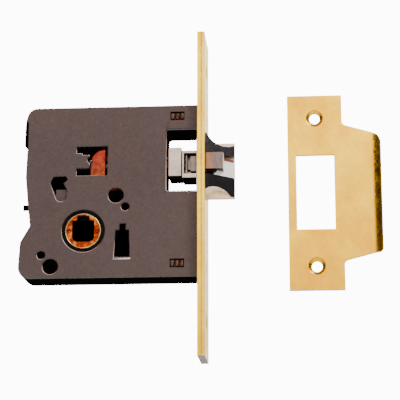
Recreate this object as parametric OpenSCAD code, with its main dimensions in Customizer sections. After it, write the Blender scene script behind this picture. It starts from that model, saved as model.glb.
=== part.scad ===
// Interior mortise latch lock with its strike plate.
// Origin: centre of the faceplate's outer face. +X leaves the door edge towards the jamb,
// -Y is the cover side and +Z is up.

/* [Case] */
// Case thickness over cover and tray
case_t = 15.5; // [15:0.5:18]
// Sheet thickness of cover and tray
sheet = 1.2; // [1:0.1:1.4]
// Distance from the faceplate's outer face to the nominal rear edge
case_depth = 75; // [74:1:80]
// Height of the case above the origin
case_up = 37.4; // [37:0.1:40]
// Depth of the case below the origin
case_down = 35.5; // [35:0.1:38]

/* [Front] */
// Length of the faceplate
front_l = 137.4; // [134:0.1:145]
// Width of the faceplate
front_w = 23; // [22:0.5:26]
// Thickness of the brass faceplate
face_t = 1.4; // [1.2:0.1:1.6]
// Thickness of the inner front plate
inner_t = 1.7; // [1.5:0.1:1.9]
// Spacing of the wood-screw holes
wood_screw_gap = 108; // [104:0.5:110]
// Radius of the wood-screw holes
wood_screw_r = 2.2; // [2:0.1:2.4]
// Spacing of the small screws that hold the faceplate
face_screw_gap = 62.6; // [62:0.1:63.4]

/* [Hub] */
// Backset, from the faceplate to the hub's axis
backset = 50.5; // [50:0.1:51]
// Height of the hub's axis below the origin
hub_drop = 15.8; // [15:0.1:16.4]
// Square socket for the spindle
spindle = 8; // [7:0.1:8.4]
// Radius of the hub's brass boss
hub_r = 7.5; // [7:0.1:7.8]
// Angle the hub turns to draw the latch
hub_turn = 38; // [30:1:38]

/* [Trim holes] */
// Diameter of the circle the trim holes lie on
trim_pcd = 40; // [39.5:0.1:40.5]
// Radius of the large trim holes
trim_big_r = 3.5; // [3:0.05:3.5]
// Radius of the small trim holes
trim_small_r = 2; // [1.5:0.05:2]
// Radius of the tapped hole in each trim bush
trim_tap_r = 1.65; // [1.4:0.05:1.8]

/* [Latch] */
// How far the latch stands out of the faceplate
latch_out = 11.6; // [11.2:0.1:12]
// Height of the latch head
latch_h = 23.8; // [23:0.1:24]
// Thickness of the latch head
latch_t = 12.8; // [12:0.1:12.8]
// Height of the latch head's centre
latch_z = 11.8; // [11.6:0.1:12]
// Travel of the latch
latch_travel = 11.6; // [11:0.1:11.6]
// Height of the nose's shoulder next to the faceplate
nose_top = 25.7; // [24:0.1:26]
// Radius of the scallop in the nose's top edge
top_scallop_r = 7.25; // [7:0.05:7.4]
// Radius of the scallop in the nose's bottom edge
low_scallop_r = 6.6; // [6.2:0.05:6.8]

/* [Strike] */
// Width of the strike's flat body
strike_w = 22.8; // [22:0.1:24]
// Length of the strike
strike_l = 83.4; // [80:0.1:86]
// Thickness of the strike
strike_t = 1.5; // [1.4:0.1:1.8]
// Gap between the faceplate and the strike as laid out
strike_gap = 34; // [25:1:45]
// Spacing of the strike's screw holes
strike_screw_gap = 63.4; // [60:0.1:66]
// Radius of the strike's screw holes
strike_screw_r = 2.2; // [2:0.1:2.4]

/* [Hidden] */
$fn = 48;

paint = "#5f524d";
steel = "#9a9088";
light_steel = "#cfc5bd";
brass = "#d8b25a";
gold_brass = "#c48a3a";
copper = "#b04a26";
charcoal = "#3a3639";
nylon = "#1b1a1a";

cut = 0.5;                                // overrun of every cutting tool
slip = 0.1;                               // gap round a piece that slides
y_cover = -case_t / 2;                    // outer face of the cover
y_tray = case_t / 2;                      // outer face of the tray
y_in = case_t / 2 - sheet;                // inner faces, on both sides
front_x = -face_t - inner_t;              // rear of the inner front plate
hub_x = -backset;
hub_z = -hub_drop;
rear_x = -case_depth;

big_angle = 48;
small_angle = 30;
hub_hole_r = 9.2;
bush_clear = 0.05;                        // gap round a bush in its hole
bush_wall = 2;                            // closed end of each tapped bush
bush_front_y = -3.2;                      // front end of each trim bush
ring_flange = [1.2, 0.85];                // bearing ring's flange: overhang and thickness
ring_recess = 0.35;                       // how far its collar sits below the sheet's face

window = [13.5, 27.3, 0.2];               // latch window: length, height, lower edge
window_corner = 1;
tray_window_corner = 1.5;
upper_window = [-54, 7.5, 13.5, 13.1];    // x, z, length, height
stake_slot = [5.9, 3.7];
stake_x = -14.6;
upper_stake_z = 31;
lower_stake_z = -31.8;
lug_w = 1.5;                              // staked lugs: width, spacing and gap to the slot
lug_step = 1.95;
lug_inset = [0.25, 0.5];
bracket_x = -16;                          // rear of both brackets
face_screw_r = 1.6;                       // hole for the small faceplate screws
ear = [19, 31.5, 0.7];                    // tray's bare rear ear: low end, high end, width
rear_lug = [-6.2, -4.2, 0.9, 2.4, 2];     // lug behind the waist: z, z, outwards, inwards, depth

tail_z = 13.4;                            // axis of the latch tail and rod
rod_r = 2;
rod_end_x = -54;
collar_x = [-49.4, -46.9];                // collar on the rod, just in front of the retractor's web
collar_r = 3.6;
guide_x = -33.5;                          // plate that carries the rod
guide_t = 1.6;
pin = [-43, 6.5, 1];                      // guide pin: x, z, radius
seat = [4, 24];                           // axis of the retractor spring, in Y and Z
tail_x = -15.6;
tail_front_x = -10;
tail_half = 6.2;                          // half height of the tail's block
yoke_x = -9.8;
body_y = 6;                               // half thickness of the yoke and tail
flange_x = [-3.8, -1.6];                  // flange of the latch head inside the case
head_y = 3.4;                             // where the nose meets the head

arm_reach = 18.5;                         // hub axis to the centre of the arm's rounded tip
arm_w = 4;
mouth_depth = 1;
hub_gap = 0.45;                           // half of the space between the two hub halves
arm_y = 3.5;                              // outer side of each arm
lug_x = hub_x - arm_w / 2 - 0.5;          // face of the retractor's lug
retractor_y = [3.8, 5.2];                 // inner and outer side of the retractor's two plates
web_x = [-46.5, -45.1];                   // web between the plates, pushed against the collar
divider_r = 9;
divider_t = 0.6;
divider_foot = 3;                         // half size of the divider's foot

// ---- shared shapes ----

// Puts an outline drawn in X and Z into the lock, from y0 to y1.
module slab(y0, y1) {
  translate([0, y1, 0])
    rotate([90, 0, 0])
      linear_extrude(y1 - y0)
        children();
}

// A block given by its low corner and its high corner.
module block(low, high) {
  translate(low)
    cube(high - low);
}

// A round rod along Y, X or the axis of the hub.
module rod_y(x, z, r, y0, y1) {
  translate([x, y1, z])
    rotate([90, 0, 0])
      cylinder(r = r, h = y1 - y0);
}

module rod_x(x0, x1, y, z, r) {
  translate([x0, y, z])
    rotate([0, 90, 0])
      cylinder(r = r, h = x1 - x0);
}

function arc(c, r, a0, a1, n) =
  [for (i = [0:n]) c + r * [cos(a0 + (a1 - a0) * i / n), sin(a0 + (a1 - a0) * i / n)]];

function trim_at(angle) = [hub_x + trim_pcd / 2 * cos(angle), hub_z + trim_pcd / 2 * sin(angle)];

// Side outline of the case, drawn inwards by d: an upper ear, a waist and a lower ear at the rear.
module case_outline(d = 0) {
  corner = 4.4;
  polygon(concat(
    [[front_x, case_up - d]],
    arc([rear_x + corner, case_up - corner], corner - d, 90, 165, 8),
    [[rear_x - 0.8 + d, 30.6],
     [rear_x - 1 + d, 21.7],
     [rear_x + 0.4 + d, 20.1],
     [rear_x + d, 7.5],
     [rear_x + 1 + d, -2.3],
     [rear_x + 2.3 + d, -13.4],
     [rear_x - 1.6 + d, -20.3],
     [rear_x - 2.2 + d, -29.5]],
    arc([rear_x + 2.4, 4.6 - case_down], 4.6 - d, 180, 270, 8),
    [[front_x, d - case_down]]));
}

// Wire of a coil spring, swept along a helix about Z from the origin to z = l.
module coil_spring(l, r, wire, turns) {
  sides = 6;
  steps = 14;
  n = turns * steps;
  run = l - 2 * wire;
  points = [for (i = [0:n], k = [0:sides - 1])
    let (a = 360 * i / steps, b = 360 * k / sides, rr = r + wire * cos(b))
      [rr * cos(a), rr * sin(a), wire + run * i / n + wire * sin(b)]];
  walls = [for (i = [0:n - 1], k = [0:sides - 1])
    let (m = (k + 1) % sides)
      [i * sides + k, (i + 1) * sides + k, (i + 1) * sides + m, i * sides + m]];
  start_cap = [[for (k = [0:sides - 1]) k]];
  end_cap = [[for (k = [0:sides - 1]) (n + 1) * sides - 1 - k]];
  polyhedron(points, concat(start_cap, walls, end_cap));
}

// ---- case ----

// Window over the latch, open towards the front, with round corners at its rear.
module latch_window_2d(length, height, r) {
  union() {
    translate([front_x - length + r, window[2]])
      square([length - r + cut, height]);
    translate([front_x - length, window[2] + r])
      square([2 * r, height - 2 * r]);
    for (z = [window[2] + r, window[2] + height - r])
      translate([front_x - length + r, z])
        circle(r = r);
  }
}

module hub_hole(y0, y1) {
  rod_y(hub_x, hub_z, hub_hole_r, y0, y1);
}

module stake_slots_2d() {
  for (z = [upper_stake_z, lower_stake_z])
    translate([stake_x, z])
      square(stake_slot);
}

// Notched opening above the hub, left by a tab pressed inwards.
module notch_2d() {
  polygon([[-63.4, 7.8], [-58, 7.9], [-57, 6.1], [-58.8, 4.6], [-57.3, 1.5], [-57.7, -1.8],
    [-58.4, -3], [-59.6, -3.5], [-61, -3.4], [-62.1, -2.6], [-65, 4.9]]);
}

// Stepped slot: a wide tapering body under a narrow neck.
module stepped_slot_2d() {
  polygon([[-35.7, -12.7], [-32.6, -12.7], [-32.6, -15.4], [-31.3, -15.4], [-30.8, -27.4],
    [-38, -27.4], [-37.3, -15.4], [-35.7, -15.4]]);
}

// Upper window with the tongue left standing in it, and the notch in the tongue's end.
module upper_window_2d() {
  difference() {
    translate([upper_window[0], upper_window[1]])
      square([upper_window[2], upper_window[3]]);
    difference() {
      translate([upper_window[0] - 1, 11.2])
        square([6.4, 5.2]);
      translate([-48.2, 14.5])
        circle(r = 1.5);
    }
    translate([upper_window[0] - 1, 16])
      square([3.4, 1.2]);
  }
}

module cover_holes() {
  y0 = y_cover - cut;
  y1 = cut - y_in;
  slab(y0, y1)
    union() {
      latch_window_2d(window[0], window[1], window_corner);
      stake_slots_2d();
      notch_2d();
      stepped_slot_2d();
      upper_window_2d();
    }
  hub_hole(y0, y1);
  for (side = [0, 180]) {
    big = trim_at(big_angle + side);
    small = trim_at(small_angle + side);
    rod_y(big[0], big[1], trim_big_r, y0, y1);
    rod_y(small[0], small[1], trim_small_r, y0, y1);
  }
}

// Tab of the cover's own sheet, pressed inwards from the lower edge of the notched opening.
module lanced_tab() {
  translate([-62.3, 0, 0])
    rotate([90, 0, 90])
      linear_extrude(4.8)
        polygon([[y_cover + 0.1, -3.6], [y_cover + 1.1, -0.9], [y_cover + 1.3, 2.2], [y_cover + 2.3, 2.2],
          [y_cover + 2.2, -1], [0.8 - y_in, -4.4], [-y_in, -4.4], [-y_in, -3.6]]);
}

module case_cover() {
  color(paint) {
    difference() {
      slab(y_cover, -y_in)
        case_outline();
      cover_holes();
      block([rear_x - 3, y_cover - cut, ear[0]], [rear_x + ear[2], cut - y_in, ear[1]]);
    }
    lanced_tab();
  }
}

module case_tray() {
  color(paint) {
    difference() {
      slab(-y_in, y_tray)
        case_outline();
      slab(-y_in - cut, y_in)
        case_outline(sheet);
      block([front_x - 1, -y_in - cut, sheet - case_down], [front_x + cut, y_in, case_up - sheet]);
      slab(y_in - cut, y_tray + cut)
        union() {
          latch_window_2d(window[0] - 0.2, window[1] - 0.9, tray_window_corner);
          stake_slots_2d();
        }
      hub_hole(y_in - cut, y_tray + cut);
    }
    block([rear_x - rear_lug[2], -y_in, rear_lug[0]],
      [rear_x + rear_lug[3], rear_lug[4] - y_in, rear_lug[1]]);
  }
}

// Body of a front bracket with three staked lugs on each side and a tapped hole for its screw.
module bracket(z0, z1, slot_z, screw_z) {
  color(steel)
    difference() {
      union() {
        block([bracket_x, -y_in, z0], [front_x, y_in, z1]);
        for (i = [0:2])
          translate([stake_x + lug_inset[0] + i * lug_step, 0, slot_z])
            block([0, y_cover + lug_inset[1], lug_inset[1]],
              [lug_w, y_tray - lug_inset[1], stake_slot[1] - lug_inset[1]]);
      }
      rod_x(bracket_x - cut, front_x + cut, 0, screw_z, face_screw_r);
    }
}

module upper_bracket() {
  bracket(27.8, case_up - sheet, upper_stake_z, face_screw_gap / 2);
}

module lower_bracket() {
  bracket(sheet - case_down, -25.6, lower_stake_z, -face_screw_gap / 2);
}

// ---- front plates ----

module latch_aperture(x0, x1) {
  gap = 0.25;
  block([x0, -latch_t / 2 - gap, latch_z - latch_h / 2 - gap],
    [x1, latch_t / 2 + gap, nose_top + gap]);
}

module inner_front() {
  color(gold_brass)
    difference() {
      block([front_x, -front_w / 2, -front_l / 2], [-face_t, front_w / 2, front_l / 2]);
      latch_aperture(front_x - cut, cut - face_t);
      for (s = [-1, 1]) {
        rod_x(front_x - cut, cut - face_t, 0, s * wood_screw_gap / 2, wood_screw_r);
        rod_x(front_x - cut, cut - face_t, 0, s * face_screw_gap / 2, face_screw_r);
      }
    }
}

module faceplate() {
  sink_r = 4;
  small_sink_r = 2.9;
  color(brass)
    difference() {
      block([-face_t, -front_w / 2, -front_l / 2], [0, front_w / 2, front_l / 2]);
      latch_aperture(-face_t - cut, cut);
      for (s = [-1, 1]) {
        rod_x(-face_t - cut, cut, 0, s * wood_screw_gap / 2, wood_screw_r);
        translate([-1, 0, s * wood_screw_gap / 2])
          rotate([0, 90, 0])
            cylinder(r1 = wood_screw_r, r2 = sink_r, h = 1.01);
        rod_x(-face_t - cut, cut, 0, s * face_screw_gap / 2, face_screw_r);
        translate([-1.2, 0, s * face_screw_gap / 2])
          rotate([0, 90, 0])
            cylinder(r1 = face_screw_r, r2 = small_sink_r, h = 1.21);
      }
    }
}

// Two small countersunk screws with a driver slot.
module faceplate_screws() {
  shank_r = face_screw_r - 0.05;
  shank_l = 9;
  head_r = 2.75;
  head_t = 1.15;
  driver_slot = 0.7;
  color(brass)
    for (s = [-1, 1])
      difference() {
        union() {
          rod_x(-shank_l, -head_t, 0, s * face_screw_gap / 2, shank_r);
          translate([-head_t, 0, s * face_screw_gap / 2])
            rotate([0, 90, 0])
              cylinder(r1 = shank_r, r2 = head_r, h = head_t - 0.05);
        }
        translate([-0.3, -driver_slot / 2, s * face_screw_gap / 2 - head_r - 1])
          cube([1, driver_slot, 2 * head_r + 2]);
      }
}

// ---- fixed pieces inside the case ----

module trim_bushes() {
  color(steel)
    for (side = [0, 180]) {
      at = trim_at(big_angle + side);
      difference() {
        rod_y(at[0], at[1], trim_big_r - bush_clear, bush_front_y, y_in);
        rod_y(at[0], at[1], trim_tap_r, bush_front_y - cut, y_in - bush_wall);
      }
    }
}

// Flanged bearing ring: its collar sits in the hub hole and its flange lies inside the sheet.
module bush() {
  color(nylon)
    difference() {
      union() {
        rod_y(hub_x, hub_z, hub_hole_r, y_cover + ring_recess, -y_in);
        rod_y(hub_x, hub_z, hub_hole_r + ring_flange[0], -y_in, ring_flange[1] - y_in);
      }
      rod_y(hub_x, hub_z, hub_r + bush_clear, y_cover, ring_flange[1] + cut - y_in);
    }
}

module cover_bush() {
  bush();
}

module tray_bush() {
  mirror([0, 1, 0])
    bush();
}

// Thin plate between the two halves of the hub, held by a foot that stands on the tray's rim.
module hub_divider() {
  color(steel)
    union() {
      slab(-divider_t / 2, divider_t / 2)
        union() {
          translate([hub_x, hub_z])
            circle(r = divider_r);
          translate([hub_x - divider_foot, sheet - case_down])
            square([2 * divider_foot, case_down - hub_drop - sheet]);
        }
      block([hub_x - divider_foot, -divider_foot, sheet - case_down],
        [hub_x + divider_foot, divider_foot, 2 * sheet - case_down]);
    }
}

module rod_guide() {
  color(steel)
    difference() {
      block([guide_x, -y_in, tail_z - 3.8], [guide_x + guide_t, y_in, tail_z + 4.2]);
      rod_x(guide_x - cut, guide_x + guide_t + cut, 0, tail_z, rod_r + slip);
    }
}

module guide_pin() {
  color(steel)
    union() {
      rod_y(pin[0], pin[1], pin[2], retractor_y[0] - 0.8, y_in);
      rod_y(pin[0], pin[1], 1.9 * pin[2], retractor_y[0] - 1.2, retractor_y[0] - 0.6);
    }
}

// Post at the rear of the tray with a peg for the retractor spring.
module spring_seat() {
  color(steel)
    union() {
      block([-73, 1, seat[1] - 3.5], [-71.6, y_in, seat[1] + 3.5]);
      rod_x(-72, -68.5, seat[0], seat[1], 1.1);
    }
}

// ---- hub ----

// Shallow relief round the mouth of a socket: a square with cut lower corners and a notch on top.
module mouth(y_outer) {
  half = spindle / 2 + 0.4;
  slab(y_outer - mouth_depth, y_outer + mouth_depth)
    translate([hub_x, hub_z])
      polygon([[-half, half], [-half, 1.4 - half], [1.6 - half, -half], [half - 1.6, -half],
        [half, 1.4 - half], [half, half], [2.35, half], [2.35, half + 1.9], [-2.35, half + 1.9],
        [-2.35, half]]);
}

// One half of the hub: boss, blind square socket and the arm that pushes the retractor.
module hub_half(y_outer) {
  web = 1;
  y_mid = y_outer < 0 ? -hub_gap : hub_gap;
  low = min(y_outer, y_mid);
  high = max(y_outer, y_mid);
  arm_low = y_outer < 0 ? -arm_y : hub_gap;
  arm_high = y_outer < 0 ? -hub_gap : arm_y;
  socket_low = y_outer < 0 ? y_outer - cut : hub_gap + web;
  socket_high = y_outer < 0 ? -hub_gap - web : y_outer + cut;
  color(gold_brass)
    difference() {
      union() {
        rod_y(hub_x, hub_z, hub_r, low, high);
        rod_y(hub_x, hub_z + arm_reach, arm_w / 2, arm_low, arm_high);
        block([hub_x - arm_w / 2, arm_low, hub_z], [hub_x + arm_w / 2, arm_high, hub_z + arm_reach]);
      }
      block([hub_x - spindle / 2, socket_low, hub_z - spindle / 2],
        [hub_x + spindle / 2, socket_high, hub_z + spindle / 2]);
      mouth(y_outer);
      for (s = [-1, 1])
        rod_y(hub_x + s * 6, hub_z, 0.7, y_outer - 0.6, y_outer + 0.6);
    }
}

module hub_outer() {
  hub_half(y_cover + 0.2);
}

module hub_inner() {
  hub_half(y_tray - 0.2);
}

// ---- retractor ----

// Side outline of the retractor: a horn with one rounded corner, and the lug it is pushed by.
module retractor_2d() {
  polygon(concat(
    [[-42.1, 3], [-42.1, 19.5]],
    arc([-42.2, 13.6], 5.9, 90, 180, 8),
    [[-48.1, 8.5],
     [lug_x - 2.2, 5.5],
     [lug_x - 2.2, -5],
     [lug_x, -5],
     [lug_x, 1.5],
     [-49.5, 5.2],
     [-46, 3]]));
}

module retractor() {
  slot_l = latch_travel + 1;
  slot_r = pin[2] + 0.15;
  bridge_y = retractor_y[0] + 0.1;
  color(copper)
    difference() {
      union() {
        slab(-retractor_y[1], -retractor_y[0])
          retractor_2d();
        slab(retractor_y[0], retractor_y[1])
          union() {
            retractor_2d();
            translate([-48.1, 4])
              square([19.6, 5]);
            translate([-48.1, 13.5])
              square([6, 14]);
          }
        block([web_x[0], -bridge_y, tail_z - 4.2], [web_x[1], bridge_y, tail_z + 4.2]);
        block([lug_x - 2.2, -bridge_y, -5], [lug_x, bridge_y, 5]);
      }
      rod_x(web_x[0] - cut, web_x[1] + cut, 0, tail_z, rod_r + slip);
      rod_y(pin[0], pin[1], slot_r, 3, 6);
      rod_y(pin[0] + slot_l, pin[1], slot_r, 3, 6);
      block([pin[0], 3, pin[1] - slot_r], [pin[0] + slot_l, 6, pin[1] + slot_r]);
    }
}

module retractor_spring() {
  color(steel)
    translate([-71.5, seat[0], seat[1]])
      rotate([0, 90, 0])
        coil_spring(23.3, 1.7, 0.28, 9);
}

// ---- latch ----

// Flat metal rear half of the latch head, which carries the nose and the yoke.
module latch_head() {
  inset = 0.3;
  color(light_steel)
    difference() {
      union() {
        block([flange_x[1], head_y, latch_z - latch_h / 2],
          [latch_out, latch_t / 2, latch_z + latch_h / 2]);
        block([flange_x[0], inset - latch_t / 2, latch_z - latch_h / 2 + inset],
          [flange_x[1], latch_t / 2, latch_z + latch_h / 2 - inset]);
      }
      tongue_room();
      rod_y(spring_at[0], spring_at[1], 1.4, 3, 6);
    }
}

spring_at = [9.4, 13.1];                  // pocket of the tongue's spring
tongue_low = 8.2;                         // the tongue's slot in the nose
tongue_high = 17.2;
bar_end = 7.3;                            // where the tongue's raised bar ends
bar_low = 10.2;
ramp_high = 16;                           // top of the ramp that lies flush in the nose
top_scallop = [7.2, 28.4];                // centres of the two scallops, in X and Z
low_scallop = [4.4, -3.6];

module tongue_room() {
  block([-1.5, -latch_t / 2 - cut, tongue_low - 0.25], [latch_out + cut, 4.6, tongue_high + 0.25]);
}

// Bevelled nose in front of the head: planar bevel, scalloped top and bottom edges.
module latch_wedge() {
  low = latch_z - latch_h / 2;
  color(charcoal)
    difference() {
      translate([0, 0, low])
        linear_extrude(nose_top - low)
          polygon([[flange_x[1], -latch_t / 2], [1, -latch_t / 2], [latch_out, head_y - 0.2],
            [latch_out, head_y], [flange_x[1], head_y]]);
      rod_y(top_scallop[0], top_scallop[1], top_scallop_r, -latch_t / 2 - cut, head_y + cut);
      rod_y(low_scallop[0], low_scallop[1], low_scallop_r, -latch_t / 2 - cut, head_y + cut);
      translate([tongue_pin_x, tongue_pin_y, tongue_low - 2.3])
        cylinder(r = 0.8, h = tongue_high - tongue_low + 4.6);
      tongue_room();
    }
}

module latch_yoke() {
  color(light_steel)
    difference() {
      block([yoke_x, -body_y, 6.5], [flange_x[0], body_y, 18.2]);
      block([yoke_x + 0.8, -body_y - cut, 8.4], [flange_x[0] + cut, 0, 17]);
      rod_x(yoke_x - cut, yoke_x + 1.3, 0, tail_z, rod_r + bush_clear);
    }
}

// Adjusting nut and its clip in the yoke's recess.
module adjuster() {
  color(steel)
    union() {
      block([-6.4, -5.2, 9.4], [-4, -0.2, 16]);
      block([-8.4, -4.6, 8.7], [-7.7, -0.2, 16.7]);
      block([-7.8, -2, 11], [-6.2, -0.2, 14.4]);
    }
}

module latch_tail() {
  color(light_steel)
    difference() {
      block([tail_x, -body_y, tail_z - tail_half], [tail_front_x, body_y, tail_z + tail_half]);
      rod_x(tail_x - cut, tail_front_x + cut, 0, tail_z, rod_r + bush_clear);
    }
}

module latch_rod() {
  color(steel)
    rod_x(rod_end_x, -8.7, 0, tail_z, rod_r);
}

module rod_collar() {
  color(steel)
    difference() {
      rod_x(collar_x[0], collar_x[1], 0, tail_z, collar_r);
      rod_x(collar_x[0] - cut, collar_x[1] + cut, 0, tail_z, rod_r + bush_clear);
    }
}

module latch_spring() {
  color(steel)
    translate([guide_x + 1.7, 0, tail_z])
      rotate([0, 90, 0])
        coil_spring(tail_x - guide_x - 1.8, 3.2, 0.35, 5);
}

// ---- anti-friction tongue ----

tongue_pin_x = 1.6;
tongue_pin_y = 2;

module antifriction_tongue() {
  top = -latch_t / 2 + 0.1;
  color(steel)
    difference() {
      union() {
        block([0.2, top, bar_low], [bar_end, head_y, tongue_high]);
        translate([0, 0, tongue_low])
          linear_extrude(ramp_high - tongue_low)
            polygon([[0.2, -3], [2.8, -3], [2.8, -4.6], [latch_out - 0.2, 2.8],
              [latch_out - 0.2, head_y], [0.2, head_y]]);
      }
      translate([tongue_pin_x, tongue_pin_y, tongue_low - cut])
        cylinder(r = 0.8, h = tongue_high - tongue_low + 2 * cut);
    }
}

module tongue_pin() {
  color(steel)
    translate([tongue_pin_x, tongue_pin_y, tongue_low - 2.2])
      cylinder(r = 0.75, h = tongue_high - tongue_low + 4.4);
}

module tongue_spring() {
  color(steel)
    translate([spring_at[0], 5.95, spring_at[1]])
      rotate([90, 0, 0])
        coil_spring(2.4, 0.95, 0.15, 4);
}

// ---- strike ----

strike_z = 1.1;                           // height of the strike's centre
lip_x = strike_gap + 35;                  // where the lip starts to curl away
lip_curl_r = 4.6;
lip_bend = 58;
lip_edge = lip_x + lip_curl_r * sin(lip_bend);

// Outline of the strike: a rectangle and a lip with sloping shoulders and round ends.
module strike_outline_2d() {
  x1 = strike_gap + strike_w;
  half = strike_l / 2;
  fillet = 1.8;
  top_r = 3.7;
  low_r = 2.2;
  translate([0, strike_z])
    polygon(concat(
      [[strike_gap, -half], [x1, -half]],
      arc([x1 + fillet, -30.9], fillet, 180, 104, 6),
      arc([lip_edge - low_r, -23.6], low_r, -76, 0, 6),
      arc([lip_edge - top_r, 21.3], top_r, 0, 76, 6),
      arc([x1 + fillet, 30.2], fillet, 256, 180, 6),
      [[x1, half], [strike_gap, half]]));
}

// Flat strip whose free edge curls away from the face, seen from above.
module strike_profile_2d() {
  c = [lip_x, lip_curl_r];
  polygon(concat(
    [[strike_gap - 1, 0]],
    arc(c, lip_curl_r, -90, lip_bend - 90, 10),
    arc(c, lip_curl_r - strike_t, lip_bend - 90, -90, 10),
    [[strike_gap - 1, strike_t]]));
}

module strike_plate() {
  hole_x = strike_gap + strike_w / 2;
  opening = [15.8, 31.8];
  border = 3.5;
  sink_r = 3.8;
  color(brass)
    difference() {
      intersection() {
        slab(-1, 12)
          strike_outline_2d();
        translate([0, 0, strike_z - strike_l / 2 - 1])
          linear_extrude(strike_l + 2)
            strike_profile_2d();
      }
      translate([strike_gap + border, 0, strike_z - 0.2])
        block([0, -cut, -opening[1] / 2], [opening[0], strike_t + cut, opening[1] / 2]);
      for (s = [-1, 1]) {
        rod_y(hole_x, strike_z + s * strike_screw_gap / 2, strike_screw_r, -cut, strike_t + cut);
        translate([hole_x, -0.01, strike_z + s * strike_screw_gap / 2])
          rotate([-90, 0, 0])
            cylinder(r1 = sink_r, r2 = strike_screw_r, h = 1.1);
      }
    }
}

case_cover();
case_tray();
inner_front();
faceplate();
faceplate_screws();
upper_bracket();
lower_bracket();
trim_bushes();
cover_bush();
tray_bush();
hub_divider();
rod_guide();
guide_pin();
spring_seat();
hub_outer();
hub_inner();
retractor();
retractor_spring();
latch_head();
latch_wedge();
latch_yoke();
adjuster();
latch_tail();
latch_rod();
rod_collar();
latch_spring();
antifriction_tongue();
tongue_pin();
tongue_spring();
strike_plate();
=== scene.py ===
"""Looks of an interior mortise latch lock with its loose strike plate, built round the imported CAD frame."""
import math

import bpy
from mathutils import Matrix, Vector


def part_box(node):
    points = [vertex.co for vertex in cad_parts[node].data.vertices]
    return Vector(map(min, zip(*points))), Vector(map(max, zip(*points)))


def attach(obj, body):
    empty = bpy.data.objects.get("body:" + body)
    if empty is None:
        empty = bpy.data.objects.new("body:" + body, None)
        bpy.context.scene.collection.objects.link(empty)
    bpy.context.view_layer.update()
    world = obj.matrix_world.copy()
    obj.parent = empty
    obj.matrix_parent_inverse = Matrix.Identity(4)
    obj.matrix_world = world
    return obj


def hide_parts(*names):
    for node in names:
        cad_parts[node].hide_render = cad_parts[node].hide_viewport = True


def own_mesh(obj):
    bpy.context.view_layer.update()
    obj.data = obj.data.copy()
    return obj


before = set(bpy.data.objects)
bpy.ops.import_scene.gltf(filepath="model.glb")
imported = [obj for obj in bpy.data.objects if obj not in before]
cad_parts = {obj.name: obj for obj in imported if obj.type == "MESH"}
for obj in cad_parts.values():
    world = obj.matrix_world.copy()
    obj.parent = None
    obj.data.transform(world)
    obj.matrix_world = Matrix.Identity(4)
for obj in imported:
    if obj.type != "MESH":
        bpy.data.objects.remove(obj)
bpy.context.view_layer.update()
MM = 0.001


# ---- node helpers ----

class Shader:
    """A Principled material and short calls that add nodes to it. Every pattern is laid out in metres."""

    def __init__(self, name, metallic=0.0, roughness=0.5, **sockets):
        self.mat = bpy.data.materials.new(name)
        self.mat.use_nodes = True
        self.tree = self.mat.node_tree
        self.bsdf = self.tree.nodes["Principled BSDF"]
        self.bsdf.inputs["Metallic"].default_value = metallic
        self.bsdf.inputs["Roughness"].default_value = roughness
        for socket, value in sockets.items():
            self.bsdf.inputs[socket.replace("_", " ")].default_value = value
        coords = self.add("ShaderNodeTexCoord")
        self.place = coords.outputs["Object"]
        self.facing = coords.outputs["Normal"]

    def add(self, kind, **inputs):
        node = self.tree.nodes.new(kind)
        for name, value in inputs.items():
            self.plug(node.inputs[name.replace("_", " ")], value)
        return node

    def plug(self, socket, value):
        if isinstance(value, bpy.types.NodeSocket):
            self.tree.links.new(value, socket)
        elif isinstance(value, tuple) and len(value) == 3 and socket.type == "RGBA":
            socket.default_value = (*value, 1.0)
        else:
            socket.default_value = value

    def stretched(self, x, y, z):
        """The place of the surface point, scaled along each axis."""
        return self.add("ShaderNodeMapping", Vector=self.place, Scale=(x, y, z)).outputs["Vector"]

    def noise(self, scale, detail=4.0, rough=0.55, where=None):
        where = self.place if where is None else where
        node = self.add("ShaderNodeTexNoise", Vector=where, Scale=scale, Detail=detail, Roughness=rough)
        return node.outputs["Fac"]

    def ramp(self, value, *stops):
        """A colour ramp; each stop is (position, grey or rgb)."""
        node = self.add("ShaderNodeValToRGB", Fac=value)
        band = node.color_ramp
        while len(band.elements) < len(stops):
            band.elements.new(0.5)
        for element, (at, colour) in zip(band.elements, stops):
            rgb = (colour,) * 3 if isinstance(colour, (int, float)) else colour
            element.position = at
            element.color = (*rgb, 1.0)
        return node.outputs["Color"]

    def mix(self, share, first, second, blend="MIX"):
        node = self.tree.nodes.new("ShaderNodeMix")
        node.data_type = "RGBA"
        node.blend_type = blend
        share_socket, first_socket, second_socket = node.inputs[0], node.inputs[6], node.inputs[7]
        self.plug(share_socket, share)
        self.plug(first_socket, first)
        self.plug(second_socket, second)
        return node.outputs[2]

    def math(self, operation, first, second=0.0):
        node = self.tree.nodes.new("ShaderNodeMath")
        node.operation = operation
        self.plug(node.inputs[0], first)
        self.plug(node.inputs[1], second)
        return node.outputs[0]

    def axis(self, name, vector=None):
        """One coordinate, X, Y or Z, of the surface point or of another vector."""
        vector = self.place if vector is None else vector
        return self.add("ShaderNodeSeparateXYZ", Vector=vector).outputs[name]

    def step(self, value, start, end):
        """0 below start and 1 above end, with a straight slope between; start may lie above end."""
        node = self.add("ShaderNodeMapRange", Value=value)
        node.inputs["From Min"].default_value = start
        node.inputs["From Max"].default_value = end
        return node.outputs["Result"]

    def bump(self, height, depth, strength=1.0):
        last = self.bsdf.inputs["Normal"]
        node = self.add("ShaderNodeBump", Height=height, Distance=depth, Strength=strength)
        if last.is_linked:
            self.tree.links.new(last.links[0].from_socket, node.inputs["Normal"])
        self.tree.links.new(node.outputs["Normal"], last)

    def paint(self, socket, value):
        self.tree.links.new(value, self.bsdf.inputs[socket])


# ---- materials ----

ENAMEL = (0.071, 0.043, 0.038)
# Near black, used as painted shade on faces that point down or turn inwards.
SHADE_BLACK = (0.004, 0.003, 0.003)


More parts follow.
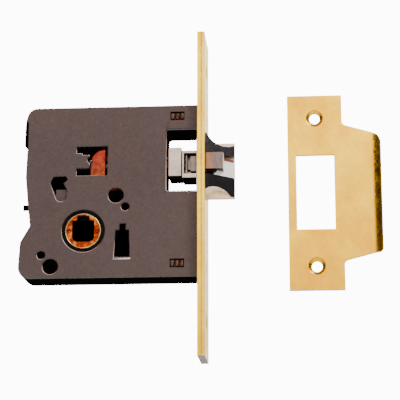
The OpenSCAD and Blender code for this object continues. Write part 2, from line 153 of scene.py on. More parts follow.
def shade_of(colour, red, green=None, blue=None):
    """The colour with its channels scaled; one factor scales all three."""
    factors = (red, red if green is None else green, red if blue is None else blue)
    return tuple(channel * factor for channel, factor in zip(colour, factors))


def enamel_coat(s, brown, painted_shade_share):
    """Colour, gloss and orange peel of stove enamel; painted shade, black, where the last argument is 1."""
    clouds = s.ramp(s.noise(24.0, 3.0), (0.3, shade_of(brown, 0.9)), (0.7, shade_of(brown, 1.1)))
    warm = s.mix(s.step(s.noise(60.0, 4.0), 0.5, 0.75), clouds, shade_of(brown, 1.15, 0.95, 0.9))
    grain = s.ramp(s.noise(1100.0, 5.0, 0.7), (0.35, 0.85), (0.65, 1.1))
    specks = s.step(s.noise(420.0, 2.0), 0.73, 0.78)
    wear_and_highlight = s.mix(s.math("MULTIPLY", specks, 0.25), s.mix(1.0, warm, grain, "MULTIPLY"), (0.2, 0.16, 0.15))
    s.paint("Base Color", s.mix(painted_shade_share, wear_and_highlight, (0.002, 0.0016, 0.0016)))
    s.paint("Roughness", s.ramp(s.noise(350.0, 4.0), (0.3, 0.40), (0.7, 0.55)))
    s.bump(s.noise(1500.0, 3.0), 0.00002, 0.5)
    s.bump(s.noise(90.0, 2.0), 0.00015, 0.25)


def cover_enamel():
    """Satin brown-grey on the faces that look out; painted shade, black, on cut walls and inside, chosen by
    the way each face points.
    """
    s = Shader("cover_enamel", Specular_IOR_Level=0.22)
    enamel_coat(s, ENAMEL, s.step(s.axis("Y", s.facing), -0.28, -0.05))
    return s.mat


def tray_enamel():
    """Brown-grey on the flat back; painted shade, black, on the rims and inside, chosen by the way each face
    points.
    """
    s = Shader("tray_enamel", Specular_IOR_Level=0.0)
    enamel_coat(s, ENAMEL, s.step(s.axis("Y", s.facing), 0.5, 0.2))
    return s.mat


def rim_enamel():
    """Enamel on the rounded rims of the openings: a painted highlight, pale where a rim faces up or to the
    right, and painted shade, darker on the other side and black where the rim turns inwards.
    """
    s = Shader("rim_enamel", Specular_IOR_Level=0.4)
    # Patchy pale enamel: the painted highlight on the side of the rim that faces the key light.
    wear_and_highlight = s.ramp(s.noise(420.0, 4.0), (0.3, shade_of(ENAMEL, 5.0)), (0.7, shade_of(ENAMEL, 9.0)))
    rise = s.math("ADD", s.axis("Z", s.facing), s.math("MULTIPLY", s.axis("X", s.facing), 0.4))
    # Painted shade: half-dark enamel on the side that faces away from the key light.
    edge = s.mix(s.step(rise, 0.1, 0.35), shade_of(ENAMEL, 0.5), wear_and_highlight)
    # Painted shade: black where the rim's wall turns away from the front.
    deep = s.step(s.axis("Y", s.facing), -0.25, -0.02)
    s.paint("Base Color", s.mix(s.math("MULTIPLY", deep, 0.8), edge, SHADE_BLACK))
    s.paint("Roughness", s.ramp(s.noise(350.0), (0.3, 0.24), (0.7, 0.36)))
    s.bump(s.noise(1500.0, 3.0), 0.00002, 0.5)
    return s.mat


def rolled_brass(name, pale, deep, seam=None, dark_reflection_from=None):
    """Polished sheet brass: cloudy patches, fine rolling lines, scuffs and a few brown spots. Painted shade
    makes it darker and deeper gold towards the bottom and dark brown on faces that point down.

    seam is the X of a dotted joint line, and the last argument the X where a band of painted dark reflection
    starts."""
    s = Shader(name, metallic=1.0)
    patches = s.noise(55.0, 6.0, 0.62, s.stretched(1.0, 1.0, 0.7))
    wide = s.ramp(patches, (0.34, deep), (0.6, pale))
    mottle = s.ramp(s.noise(520.0, 5.0, 0.7), (0.3, 0.86), (0.7, 1.04))
    colour = s.mix(1.0, wide, mottle, "MULTIPLY")
    spots = s.step(s.noise(300.0, 2.0), 0.70, 0.76)
    colour = s.mix(s.math("MULTIPLY", spots, 0.5), colour, (0.35, 0.16, 0.04))
    if seam is not None:
        near = s.step(s.math("ABSOLUTE", s.math("SUBTRACT", s.axis("X"), seam)), 0.00028, 0.0001)
        dots = s.ramp(s.noise(900.0, 2.0), (0.4, 0.35), (0.6, 1.0))
        colour = s.mix(s.math("MULTIPLY", near, s.axis("X", dots)), colour, (0.16, 0.10, 0.02))
    # Painted dark reflection: a near-black band across the bent lip, patchy and stronger lower down.
    if dark_reflection_from is not None:
        band = s.math("MULTIPLY", s.step(s.axis("X"), dark_reflection_from, dark_reflection_from + 0.0010),
                      s.step(s.axis("X"), dark_reflection_from + 0.0036, dark_reflection_from + 0.0030))
        lower = s.math("MULTIPLY", s.step(s.axis("Z"), 0.024, 0.0), 0.35)
        reflection_patches = s.axis("X", s.ramp(s.noise(700.0, 5.0, 0.7), (0.38, 0.25), (0.58, 0.9)))
        patchiness = s.math("MINIMUM", s.math("ADD", reflection_patches, lower), 0.97)
        colour = s.mix(s.math("MULTIPLY", band, patchiness), colour, (0.012, 0.005, 0.002))
    # Painted shade: darker, deeper gold towards the bottom.
    low = s.step(s.axis("Z"), 0.03, -0.04)
    colour = s.mix(s.math("MULTIPLY", low, 0.6), colour, shade_of(deep, 0.8))
    # Painted shade: dark brown on faces that point down.
    under = s.step(s.axis("Z", s.facing), -0.5, -0.85)
    s.paint("Base Color", s.mix(under, colour, (0.06, 0.024, 0.006)))
    s.paint("Roughness", s.ramp(s.noise(140.0, 5.0, 0.6), (0.3, 0.2), (0.7, 0.36)))
    s.bump(s.noise(2600.0, 2.0, 0.5, s.stretched(1.0, 1.0, 0.04)), 0.000012, 0.6)
    s.bump(s.noise(220.0, 4.0), 0.00006, 0.3)
    return s.mat


def hub_bronze(axis_x, axis_z):
    """Orange cast brass, redder in patches; painted shade, black, inside the socket."""
    s = Shader("hub_bronze", metallic=1.0, roughness=0.34)
    cast = s.ramp(s.noise(330.0, 5.0, 0.7), (0.40, (0.08, 0.004, 0.002)), (0.54, (0.30, 0.036, 0.005)),
                  (0.70, (0.60, 0.22, 0.03)))
    # Painted shade: the inside of the socket is made black.
    across = s.math("ABSOLUTE", s.math("SUBTRACT", s.axis("X"), axis_x))
    up = s.math("ABSOLUTE", s.math("SUBTRACT", s.axis("Z"), axis_z))
    inside_x = s.step(across, 0.00456, 0.00444)
    inside_z = s.step(up, 0.0065, 0.0063)
    deep = s.step(s.math("ABSOLUTE", s.axis("Y")), 0.0074, 0.0072)
    socket = s.math("MULTIPLY", s.math("MULTIPLY", inside_x, inside_z), deep)
    s.paint("Base Color", s.mix(socket, cast, (0.003, 0.002, 0.002)))
    s.bump(s.noise(800.0, 4.0), 0.00004, 0.5)
    return s.mat


def metal(name, low, high, rough_low, rough_high, metallic=1.0, painted_shade_under=True):
    """Plain machined or ground metal with tool lines, stains and small pits; faces that point down are
    painted black and non-metallic as shade.
    """
    s = Shader(name, metallic=metallic, Specular_IOR_Level=0.0)
    colour = s.ramp(s.noise(260.0, 6.0, 0.65), (0.3, low), (0.7, high))
    if painted_shade_under:
        # Painted shade: near black, not metallic, on faces that point down.
        under = s.step(s.axis("Z", s.facing), -0.4, -0.75)
        colour = s.mix(under, colour, SHADE_BLACK)
        s.paint("Metallic", s.step(under, 1.0, 0.0))
    s.paint("Base Color", colour)
    s.paint("Roughness", s.ramp(s.noise(500.0, 5.0), (0.3, rough_low), (0.7, rough_high)))
    s.bump(s.noise(2200.0, 2.0, 0.5, s.stretched(1.0, 1.0, 0.08)), 0.000015, 0.5)
    s.bump(s.noise(1500.0, 4.0), 0.00003, 0.3)
    return s.mat


def retractor_copper():
    """Copper-plated lever: orange low down, redder above."""
    s = Shader("retractor_copper", metallic=0.75)
    height = s.step(s.axis("Z"), 0.008, 0.019)
    plate = s.mix(height, (0.30, 0.046, 0.005), (0.34, 0.018, 0.005))
    patchiness = s.ramp(s.noise(420.0, 5.0, 0.7), (0.36, 0.3), (0.62, 1.15))
    s.paint("Base Color", s.mix(1.0, plate, patchiness, "MULTIPLY"))
    s.paint("Roughness", s.ramp(s.noise(300.0), (0.3, 0.28), (0.7, 0.45)))
    s.bump(s.noise(900.0, 4.0), 0.00004, 0.6)
    return s.mat


def nose_black():
    """Coarse black on the nose's bevel, darker towards the bottom, as a painted dark reflection; cream where
    the scallop faces down low, as a painted bright reflection.
    """
    s = Shader("nose_black", metallic=0.35, Specular_IOR_Level=0.3)
    black = s.ramp(s.noise(600.0, 6.0, 0.7), (0.3, (0.010, 0.008, 0.011)), (0.7, (0.048, 0.036, 0.043)))
    # Painted dark reflection, darker still towards the bottom.
    black = s.mix(s.step(s.axis("Z"), 0.016, 0.006), black, (0.006, 0.004, 0.006))
    # Painted bright reflection: cream on the low faces that point down.
    bright_reflection = s.ramp(s.noise(240.0, 5.0), (0.3, (0.86, 0.68, 0.48)), (0.7, (1.0, 0.92, 0.76)))
    under = s.step(s.axis("Z", s.facing), -0.1, -0.35)
    low = s.step(s.axis("Z"), 0.0045, 0.0035)
    share = s.math("MULTIPLY", under, low)
    s.paint("Base Color", s.mix(share, black, bright_reflection))
    s.paint("Roughness", s.ramp(s.noise(500.0), (0.3, 0.42), (0.7, 0.62)))
    s.bump(s.noise(1300.0, 5.0, 0.7), 0.00006, 0.8)
    return s.mat


def tongue_steel():
    """Grey-brown ground steel, with a painted reflection of the brass faceplate next to the faceplate.

    The ramp is painted bright as lit and reddish-brown along its top edge, with a painted shadow where the
    bar stands over it; the bar is painted black as shade low down and underneath."""
    s = Shader("tongue_steel", metallic=1.0, Specular_IOR_Level=0.5)
    ground = s.ramp(s.noise(400.0, 6.0, 0.7, s.stretched(1.0, 1.0, 0.2)), (0.3, (0.11, 0.075, 0.065)),
                    (0.7, (0.24, 0.175, 0.155)))
    # Painted reflection of the brass faceplate, near the faceplate.
    brass_reflection = s.step(s.axis("X"), 0.0038, 0.0008)
    bar = s.mix(s.math("MULTIPLY", brass_reflection, 0.6), ground, (0.36, 0.13, 0.035))
    # Painted highlight: the ramp faces are pale and not metallic, as if lit.
    bright = s.ramp(s.noise(300.0, 4.0), (0.3, (0.80, 0.72, 0.64)), (0.7, (1.0, 0.96, 0.9)))
    slant = s.math("SUBTRACT", s.axis("Z"), s.math("MULTIPLY", s.axis("X"), 1.27))
    # Painted shadow of the bar on the ramp.
    shaded = s.math("MULTIPLY", s.step(slant, 0.0039, 0.0043), s.step(s.axis("Z"), 0.0138, 0.0134))
    sloping = s.step(s.axis("X", s.facing), 0.95, 0.85)
    # Reddish-brown band along the ramp's top edge.
    red_top_band = s.math("MULTIPLY", s.step(s.axis("Z"), 0.0145, 0.0151), sloping)
    ramp = s.mix(shaded, s.mix(red_top_band, bright, (0.16, 0.045, 0.03)), (0.006, 0.005, 0.005))
    ramp_side = s.step(s.axis("X", s.facing), 0.3, 0.5)
    # Painted shade: the bar black low down and on faces that point down.
    low_part = s.step(s.axis("Z"), 0.0102, 0.0100)
    below = s.math("MAXIMUM", low_part, s.step(s.axis("Z", s.facing), -0.3, -0.6))
    bar = s.mix(below, bar, (0.006, 0.005, 0.005))
    s.paint("Base Color", s.mix(ramp_side, bar, ramp))
    s.paint("Metallic", s.step(ramp_side, 1.0, 0.0))
    s.paint("Roughness", s.ramp(s.noise(500.0), (0.3, 0.3), (0.7, 0.46)))
    s.bump(s.noise(2000.0, 2.0, 0.5, s.stretched(1.0, 1.0, 0.06)), 0.000015, 0.5)
    return s.mat


def plastic(name, low, high):
    s = Shader(name, roughness=0.6, Specular_IOR_Level=0.03)
    s.paint("Base Color", s.ramp(s.noise(500.0, 4.0), (0.3, low), (0.7, high)))
    s.bump(s.noise(2500.0, 3.0), 0.00002, 0.4)
    return s.mat


HUB_LOW, HUB_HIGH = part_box("cover_bush")
HUB = Vector(((HUB_LOW[0] + HUB_HIGH[0]) / 2, 0.0, (HUB_LOW[2] + HUB_HIGH[2]) / 2))
SEAM_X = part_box("faceplate")[0][0]
LIP_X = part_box("strike_plate")[1][0] - 0.0040

MATERIALS = {
    "cover": cover_enamel(),
    "tray": tray_enamel(),
    "rim_enamel": rim_enamel(),
    "strike": rolled_brass("strike_brass", (1.0, 0.58, 0.020), (0.84, 0.37, 0.006), dark_reflection_from=LIP_X),
    "front": rolled_brass("front_brass", (1.0, 0.66, 0.04), (0.82, 0.44, 0.01), seam=SEAM_X),
    "hub": hub_bronze(HUB.x, HUB.z),
    "rim": metal("hub_rim", (0.30, 0.12, 0.03), (0.90, 0.62, 0.22), 0.2, 0.35),
    "steel": metal("tarnished_steel", (0.10, 0.075, 0.065), (0.26, 0.20, 0.17), 0.3, 0.5),
    "dark": metal("blackened_steel", (0.012, 0.010, 0.010), (0.035, 0.03, 0.03), 0.25, 0.45),
    # The sill's pale colour is a painted highlight on the slot's lower rim.
    "sill": metal("sill_highlight", (0.42, 0.34, 0.33), (0.75, 0.66, 0.64), 0.4, 0.55, metallic=0.3),
    "head": metal("head_steel", (0.70, 0.48, 0.30), (0.95, 0.80, 0.60), 0.25, 0.4, metallic=0.6,
                  painted_shade_under=False),
    "latch": metal("satin_nickel", (0.36, 0.27, 0.21), (0.56, 0.45, 0.37), 0.26, 0.42),
    "nut": metal("nut_steel", (0.09, 0.06, 0.05), (0.26, 0.19, 0.16), 0.28, 0.42),
    "nose": nose_black(),
    "copper": retractor_copper(),
    "tongue": tongue_steel(),
    "stake": metal("staked_lugs", (0.035, 0.012, 0.007), (0.20, 0.085, 0.05), 0.3, 0.5),
    "nylon": plastic("black_nylon", 0.002, 0.006),
    "peg": metal("peg_steel", (0.03, 0.026, 0.03), (0.12, 0.11, 0.12), 0.12, 0.25),
}

NODE_MATERIAL = {
    "case_cover": "cover",
    "case_tray": "tray",
    "inner_front": "front",
    "faceplate": "front",
    "faceplate_screws": "front",
    "upper_bracket": "dark",
    "lower_bracket": "dark",
    "trim_bushes": "nylon",
    "cover_bush": "nylon",
    "tray_bush": "nylon",
    "hub_divider": "dark",
    "rod_guide": "dark",
    "guide_pin": "steel",
    "spring_seat": "dark",
    "hub_outer": "hub",
    "hub_inner": "hub",
    "retractor": "copper",
    "retractor_spring": "steel",
    "latch_head": "head",
    "latch_wedge": "nose",
    "latch_yoke": "latch",
    "adjuster": "nut",
    "latch_tail": "latch",
    "latch_rod": "steel",
    "rod_collar": "dark",
    "latch_spring": "steel",
    "antifriction_tongue": "tongue",
    "tongue_pin": "steel",
    "tongue_spring": "steel",
    "strike_plate": "strike",
}
EDGE = {
    "case_cover": 0.25,
    "case_tray": 0.28,
    "faceplate": 0.18,
    "inner_front": 0.15,
    "latch_tail": 0.35,
    "latch_yoke": 0.2,
    "strike_plate": 0.15,
    "hub_outer": 0.3,
    "hub_inner": 0.3,
}
PLAIN_EDGE = 0.12        # width of every other node's rounded edges, in millimetres
PIERCED = ("case_cover", "case_tray")    # flat walls with many openings, left as they come
FREE_EDGE = 0.3          # from this width on, edges may run into each other


def finish_cad_nodes():
    """Gives each CAD node its material and soft, rounded edges."""
    for name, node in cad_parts.items():
        node.data.materials.clear()
        node.data.materials.append(MATERIALS[NODE_MATERIAL[name]])
        round_edges(node, EDGE.get(name, PLAIN_EDGE), name in PIERCED)


def round_edges(thing, width, pierced, angle=38.0):
    weld = thing.modifiers.new("weld", "WELD")
    weld.merge_threshold = 0.00001
    if not pierced:
        flat = thing.modifiers.new("flat_faces", "DECIMATE")
        flat.decimate_type = "DISSOLVE"
        flat.angle_limit = math.radians(0.6)
    bevel = thing.modifiers.new("edges", "BEVEL")
    bevel.width = width * MM
    bevel.segments = 3
    bevel.limit_method = "ANGLE"
    bevel.angle_limit = math.radians(angle)
    bevel.harden_normals = True
    bevel.use_clamp_overlap = width < FREE_EDGE
    shade = thing.modifiers.new("shade", "WEIGHTED_NORMAL")
    shade.weight = 60


# ---- new pieces ----

def piece(name, verts, faces, material, body, smooth=True):
    """A mesh piece in row coordinates, metres, that rides on a body."""
    mesh = bpy.data.meshes.new(name)
    mesh.from_pydata([tuple(v) for v in verts], [], faces)
    mesh.validate()
    mesh.polygons.foreach_set("use_smooth", [smooth] * len(mesh.polygons))
    mesh.materials.append(MATERIALS[material])
    made = bpy.data.objects.new(name, mesh)
    bpy.context.scene.collection.objects.link(made)
    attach(made, body)
    return made


def lathe(profile, centre, axis, steps=64):
    """Turns (radius, height) points, in millimetres, round an axis through centre."""
    frame_of = Vector(axis).to_track_quat("Z", "Y")
    verts, faces = [], []
    count = len(profile)
    for i in range(steps):
        turn = 2 * math.pi * i / steps
        for radius, height in profile:
            local = Vector((radius * math.cos(turn), radius * math.sin(turn), height)) * MM
            verts.append(Vector(centre) + frame_of @ local)
    for i in range(steps):
        for k in range(count - 1):
            a, b = i * count + k, ((i + 1) % steps) * count + k
            faces.append((a, b, b + 1, a + 1))
    return verts, faces


def coil(start, axis, length, radius, wire, turns, closed_turns=1.0, sides=10, steps=26):
    """Round-wire helical spring with a closed turn at each end. Lengths in millimetres."""
    frame_of = Vector(axis).to_track_quat("Z", "Y")
    total = int(steps * turns)
    pitch_share = []
    height = 0.0
    for i in range(total + 1):
        turn = i / steps
        pitch_share.append(height)
        closed = turn < closed_turns or turn > turns - closed_turns
        height += 0.35 if closed else 1.0
    run = length - 2 * wire
    verts, faces = [], []
    for i in range(total + 1):
        angle = 2 * math.pi * i / steps
        z = wire + run * pitch_share[i] / pitch_share[-1]
        for k in range(sides):
            around = 2 * math.pi * k / sides
            r = radius + wire * math.cos(around)
            local = Vector((r * math.cos(angle), r * math.sin(angle), z + wire * math.sin(around))) * MM
            verts.append(Vector(start) + frame_of @ local)
    for i in range(total):
        for k in range(sides):
            nxt = (k + 1) % sides
            faces.append((i * sides + k, (i + 1) * sides + k, (i + 1) * sides + nxt, i * sides + nxt))
    faces.append(tuple(range(sides - 1, -1, -1)))
    faces.append(tuple(total * sides + k for k in range(sides)))
    return verts, faces


def centre_of(name):
    low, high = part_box(name)
    return (Vector(low) + Vector(high)) / 2


def spring(name, node, body, start, axis, length, radius, wire, turns):
    """A round-wire spring in place of a CAD one, with a mesh of its own."""
    verts, faces = coil(start, axis, length, radius, wire, turns)
    made = piece(name, verts, faces, "steel", body)
    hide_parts(node)
    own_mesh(made)


def springs():
    for name, node, joint, keep, radius, wire, turns in (
            ("latch_coil", "latch_spring", "latch_slide", 0.275, 3.2, 0.35, 7),
            ("retractor_coil", "retractor_spring", "retractor_slide", 0.5, 1.7, 0.28, 12)):
        low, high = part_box(node)
        mid = centre_of(node)
        spring(name, node, "case", (low[0], mid.y, mid.z), (1, 0, 0), (high[0] - low[0]) / MM,
               radius, wire, turns)
    low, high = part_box("tongue_spring")
    mid = centre_of("tongue_spring")
    start = (mid.x, high[1], mid.z)
    spring("tongue_coil", "tongue_spring", "latch", start, (0, -1, 0),
           (high[1] - low[1]) / MM, 0.95, 0.15, 5)


def hub_rims():
    """Thin raised rim turned on the face of each hub half."""
    for name, body, side, node in (("outer_hub_rim", "outer_hub", -1, "hub_outer"),
                                   ("inner_hub_rim", "inner_hub", 1, "hub_inner")):
        low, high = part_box(node)
        face = low[1] if side < 0 else high[1]
        profile = [(6.95, -0.05), (7.0, 0.08), (7.1, 0.15), (7.25, 0.15), (7.38, 0.08), (7.42, -0.05)]
        verts, faces = lathe(profile, (HUB.x, face, HUB.z), (0, side, 0))
        piece(name, verts, faces, "rim", body)


STAKE_SLOT_X, STAKE_SLOT_W = -14.6, 5.9
STAKE_MID_Z = {"upper_bracket": 32.85, "lower_bracket": -29.95}
LUG_HALF = (0.80, 0.42, 1.35)


def stake_lumps():
    """Three hammered-over lug ends in each staking slot, on both sides of the case."""
    for name, node, side in (("upper_lumps", "upper_bracket", -1),
                             ("lower_lumps", "lower_bracket", -1),
                             ("upper_lumps_back", "upper_bracket", 1),
                             ("lower_lumps_back", "lower_bracket", 1)):
        low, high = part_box(node)
        face = low[1] if side < 0 else high[1]
        verts, faces = [], []
        for i in range(3):
            middle_x = STAKE_SLOT_X + STAKE_SLOT_W * (i + 0.5) / 3
            lump(verts, faces, (middle_x, face / MM, STAKE_MID_Z[node]), LUG_HALF, side, seed=i)
        piece(name, verts, faces, "stake", "case")


def lump(verts, faces, centre, half, side, seed, rings=7, steps=18):
    """A rounded, slightly uneven block end, in millimetres."""
    base = len(verts)
    for j in range(rings + 1):
        lift = math.sin(math.pi / 2 * j / rings)
        spread = math.cos(math.pi / 2 * j / rings) ** 0.45
        for i in range(steps):
            turn = 2 * math.pi * i / steps
            c, s = math.cos(turn), math.sin(turn)
            box = (abs(c) ** 4 + abs(s) ** 4) ** -0.25
            uneven = 1.0 + 0.06 * math.sin(3 * turn + seed * 1.7) + 0.04 * math.sin(5 * turn + seed)
            verts.append(Vector((centre[0] + half[0] * c * box * spread * uneven,
                                 centre[1] + side * (half[1] * lift - 0.05),
                                 centre[2] + half[2] * s * box * spread * uneven)) * MM)
    for j in range(rings):
        for i in range(steps):
            nxt = (i + 1) % steps
            a, b = base + j * steps, base + (j + 1) * steps
            quad = (a + i, a + nxt, b + nxt, b + i)
            faces.append(quad if side < 0 else quad[::-1])
    top = tuple(base + rings * steps + i for i in range(steps))
    faces.append(top if side < 0 else top[::-1])


def slot_sill():
    """Sill painted bright as a highlight, a little proud of the cover, under the stepped slot."""
    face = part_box("case_cover")[0][1] / MM
    x0, x1, z, half, rings = -38.2, -30.7, -27.85, 0.42, 8
    verts, faces = [], []
    for x, scale in ((x0, 0.2), (x0 + 0.15, 1.0), (x1 - 0.15, 1.0), (x1, 0.2)):
        for k in range(rings + 1):
            turn = math.pi * k / rings
            verts.append(Vector((x, face - 0.24 * scale * math.sin(turn) + 0.02,
                                 z + half * scale * math.cos(turn))) * MM)
    for i in range(3):
        for k in range(rings):
            a, b = i * (rings + 1) + k, (i + 1) * (rings + 1) + k
            faces.append((a, a + 1, b + 1, b))
    piece("slot_sill", verts, faces, "sill", "case")


PEG_R, PEG_LENGTH = 1.25, 2.6


def collar_and_peg():
    """Turned collar on the rod, and the small round-headed peg that shows in the upper window."""
    low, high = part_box("rod_collar")
    mid = centre_of("rod_collar")
    width = (high[0] - low[0]) / MM
    profile = [(2.05, 0), (3.2, 0), (3.5, 0.2), (3.6, 0.5), (3.6, width - 0.5), (3.5, width - 0.2),
               (3.2, width), (2.05, width)]
    verts, faces = lathe(profile, (low[0], mid.y, mid.z), (1, 0, 0), 48)
    made = piece("turned_collar", verts, faces, "dark", "latch")
    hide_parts("rod_collar")
    head = []
    for degrees in range(0, 91, 10):
        turn = math.radians(degrees)
        head.append((PEG_R * math.sin(turn), PEG_R * (1 - math.cos(turn))))
    head.append((PEG_R, PEG_LENGTH))
    verts, faces = lathe(head, (mid.x - 0.0002, -0.0059, mid.z + 0.0010), (0, 1, 0), 32)
    piece("collar_peg", verts, faces, "peg", "latch")


def round_spot(x, z, r, steps=48):
    """Points of a circle in X and Z, going round against the clock as seen from the cover side."""
    return [(x + r * math.cos(2 * math.pi * i / steps), z + r * math.sin(2 * math.pi * i / steps))
            for i in range(steps)]


SHARPEST_MITRE = 0.4


def lip(name, outline, profile, closed=True):
    """Rounded rim that follows an opening: profile holds (inwards from the edge, depth below the face)."""
    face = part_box("case_cover")[0][1]
    count = len(outline)
    verts, faces = [], []
    for i, (x, z) in enumerate(outline):
        before = outline[i - 1] if closed or i else outline[0]
        after = outline[(i + 1) % count] if closed or i < count - 1 else outline[-1]
        normals = []
        for start, end in ((before, (x, z)), ((x, z), after)):
            run = Vector((end[0] - start[0], end[1] - start[1]))
            if run.length > 0.0:
                normals.append(Vector((-run.y, run.x)).normalized())
        into = sum(normals, Vector((0.0, 0.0)))
        if len(normals) == 2:
            into /= max(SHARPEST_MITRE, 1.0 + normals[0].dot(normals[1]))
        for inward, depth in profile:
            verts.append((x * MM + into.x * inward * MM, face + depth * MM, z * MM + into.y * inward * MM))
    rings = len(profile)
    for i in range(count if closed else count - 1):
        nxt = (i + 1) % count
        for k in range(rings - 1):
            faces.append((i * rings + k, nxt * rings + k, nxt * rings + k + 1, i * rings + k + 1))
    piece(name, verts, faces, "rim_enamel", "case")


# The cover's openings, in millimetres in X and Z: going against the clock as seen from the cover side.
TRIM_REACH = 20.0
HUB_HOLE_R, TRIM_BIG_R, TRIM_SMALL_R = 9.2, 3.5, 2.0
LATCH_WINDOW = [(-3.1, 27.5), (-15.6, 27.5), (-16.3, 27.2), (-16.6, 26.5), (-16.6, 1.2), (-16.3, 0.5),
                (-15.6, 0.2), (-3.1, 0.2)]
UPPER_WINDOW = [(-54, 7.5), (-40.5, 7.5), (-40.5, 20.6), (-54, 20.6), (-54, 17.2), (-51.6, 17.2),
                (-51.6, 16.4), (-48.6, 16.4), (-48.6, 15.95), (-49.3, 15.5), (-49.7, 14.5),
                (-49.3, 13.5), (-48.6, 13.05), (-48.6, 11.2), (-54, 11.2)]
NOTCH = [(-63.4, 7.8), (-65, 4.9), (-62.1, -2.6), (-61, -3.4), (-59.6, -3.5), (-58.4, -3),
         (-57.7, -1.8), (-57.3, 1.5), (-58.8, 4.6), (-57, 6.1), (-58, 7.9)]
STEPPED_SLOT = [(-35.7, -12.7), (-35.7, -15.4), (-37.3, -15.4), (-38, -27.4), (-30.8, -27.4),
                (-31.3, -15.4), (-32.6, -15.4), (-32.6, -12.7)]


def opening_lips():
    """Rolled rims of the cover's openings, where the punch drew the enamelled sheet inwards."""
    roll = [(0.0, -0.01), (0.12, 0.01), (0.26, 0.07), (0.37, 0.18), (0.43, 0.32), (0.45, 0.5), (0.45, 1.15)]
    shallow = [(0.0, -0.01), (0.1, 0.01), (0.2, 0.06), (0.27, 0.15), (0.3, 0.3)]
    fine = [(inward * 0.7, depth * 0.7) for inward, depth in roll]
    hub_x, hub_z = HUB.x / MM, HUB.z / MM
    lip("hub_lip", round_spot(hub_x, hub_z, HUB_HOLE_R, 72), shallow)
    for name, degrees, radius in (("front_trim_lip", 48, TRIM_BIG_R),
                                  ("rear_trim_lip", 228, TRIM_BIG_R),
                                  ("front_pin_lip", 30, TRIM_SMALL_R),
                                  ("rear_pin_lip", 210, TRIM_SMALL_R)):
        turn = math.radians(degrees)
        middle_x = hub_x + TRIM_REACH * math.cos(turn)
        middle_z = hub_z + TRIM_REACH * math.sin(turn)
        lip(name, round_spot(middle_x, middle_z, radius), fine)
    lip("latch_window_lip", LATCH_WINDOW, roll, closed=False)
    lip("upper_window_lip", UPPER_WINDOW, fine)
    lip("notch_lip", NOTCH, fine)
    lip("stepped_slot_lip", STEPPED_SLOT, fine)


# ---- light, floor and camera ----

def soft_light(name, place, target, size, power):
    lamp = bpy.data.lights.new(name, "AREA")
    lamp.shape = "RECTANGLE"
    lamp.size, lamp.size_y = size
    lamp.energy = power
    made = bpy.data.objects.new(name, lamp)
    bpy.context.scene.collection.objects.link(made)
    made.location = place
    made.rotation_mode = "QUATERNION"
    made.rotation_quaternion = (Vector(target) - Vector(place)).to_track_quat("-Z", "Y")
    return made


KEY_POWER, FRONT_POWER, WASH_POWER = 11.0, 14.0, 5.0
BACKDROP_STRENGTH = 12.0
FLOOR_HALF, FLOOR_Z = 3.0, -0.6


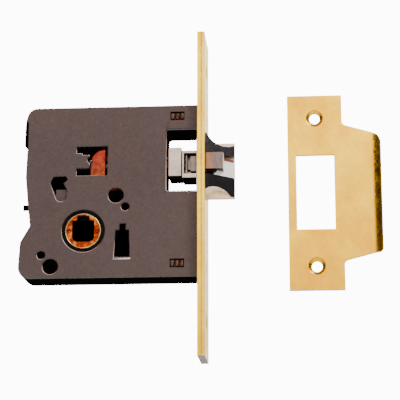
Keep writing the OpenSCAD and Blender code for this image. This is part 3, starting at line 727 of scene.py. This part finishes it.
def surroundings():
    """White backdrop for the camera; dim light on the lock, brighter from behind."""
    world = bpy.data.worlds.new("studio")
    world.use_nodes = True
    tree = world.node_tree
    shade = tree.nodes["Background"]
    back = tree.nodes.new("ShaderNodeBackground")
    back.inputs["Color"].default_value = (1.0, 1.0, 1.0, 1.0)
    back.inputs["Strength"].default_value = BACKDROP_STRENGTH
    way = tree.nodes.new("ShaderNodeTexCoord")
    split = tree.nodes.new("ShaderNodeSeparateXYZ")
    tree.links.new(way.outputs["Generated"], split.inputs["Vector"])
    rise = tree.nodes.new("ShaderNodeValToRGB")
    up = tree.nodes.new("ShaderNodeMapRange")
    up.inputs["From Min"].default_value = -1.0
    tree.links.new(split.outputs["Z"], up.inputs["Value"])
    tree.links.new(up.outputs["Result"], rise.inputs["Fac"])
    for element, (at, grey) in zip(rise.color_ramp.elements, ((0.45, 0.08), (0.8, 0.3))):
        element.position = at
        element.color = (grey, grey, grey, 1.0)
    tree.links.new(rise.outputs["Color"], shade.inputs["Color"])
    behind = tree.nodes.new("ShaderNodeMapRange")
    for socket, value in (("From Min", 0.3), ("From Max", 0.6), ("To Min", 1.0), ("To Max", 13.0)):
        behind.inputs[socket].default_value = value
    tree.links.new(split.outputs["Y"], behind.inputs["Value"])
    tree.links.new(behind.outputs["Result"], shade.inputs["Strength"])
    seen = tree.nodes.new("ShaderNodeLightPath")
    join = tree.nodes.new("ShaderNodeMixShader")
    tree.links.new(seen.outputs["Is Camera Ray"], join.inputs["Fac"])
    tree.links.new(shade.outputs["Background"], join.inputs[1])
    tree.links.new(back.outputs["Background"], join.inputs[2])
    tree.links.new(join.outputs["Shader"], tree.nodes["World Output"].inputs["Surface"])
    bpy.context.scene.world = world


def lamps():
    """A soft key high on the right, a broad soft front light, and a wash on the floor."""
    soft_light("key", (0.6, -0.6, 0.8), (0, 0, 0), (0.35, 0.35), KEY_POWER)
    soft_light("front", (0.0, -1.35, 0.52), (0, 0, 0), (1.6, 1.0), FRONT_POWER)
    soft_light("floor_wash", (0.0, -0.1, -0.25), (0.0, -0.1, -1.0), (1.0, 1.0), WASH_POWER)


def pale_floor():
    mesh = bpy.data.meshes.new("floor")
    corners = [(x * FLOOR_HALF, y * FLOOR_HALF, FLOOR_Z) for x, y in ((-1, -1), (1, -1), (1, 1), (-1, 1))]
    mesh.from_pydata(corners, [], [(0, 1, 2, 3)])
    floor = bpy.data.objects.new("floor", mesh)
    bpy.context.scene.collection.objects.link(floor)
    pale = Shader("pale_floor", roughness=0.8)
    pale.paint("Base Color", pale.ramp(pale.noise(6.0), (0.3, 0.86), (0.7, 0.9)))
    mesh.materials.append(pale.mat)


def camera():
    """Camera a little to the right of the lock and below it, looking up."""
    azimuth, elevation, distance = math.radians(4.3), math.radians(-14.5), 0.640
    target = Vector((-0.00275, 0.0, -0.00165))
    back = Vector((math.sin(azimuth) * math.cos(elevation),
                   -math.cos(azimuth) * math.cos(elevation), math.sin(elevation)))
    data = bpy.data.cameras.new("camera")
    data.sensor_width = 36.0
    data.lens = 138.24
    made = bpy.data.objects.new("camera", data)
    bpy.context.scene.collection.objects.link(made)
    made.location = target + back * distance
    made.rotation_mode = "QUATERNION"
    made.rotation_quaternion = (-back).to_track_quat("-Z", "Y")
    bpy.context.scene.camera = made


finish_cad_nodes()
springs()
hub_rims()
stake_lumps()
collar_and_peg()
opening_lips()
slot_sill()
surroundings()
lamps()
pale_floor()
camera()
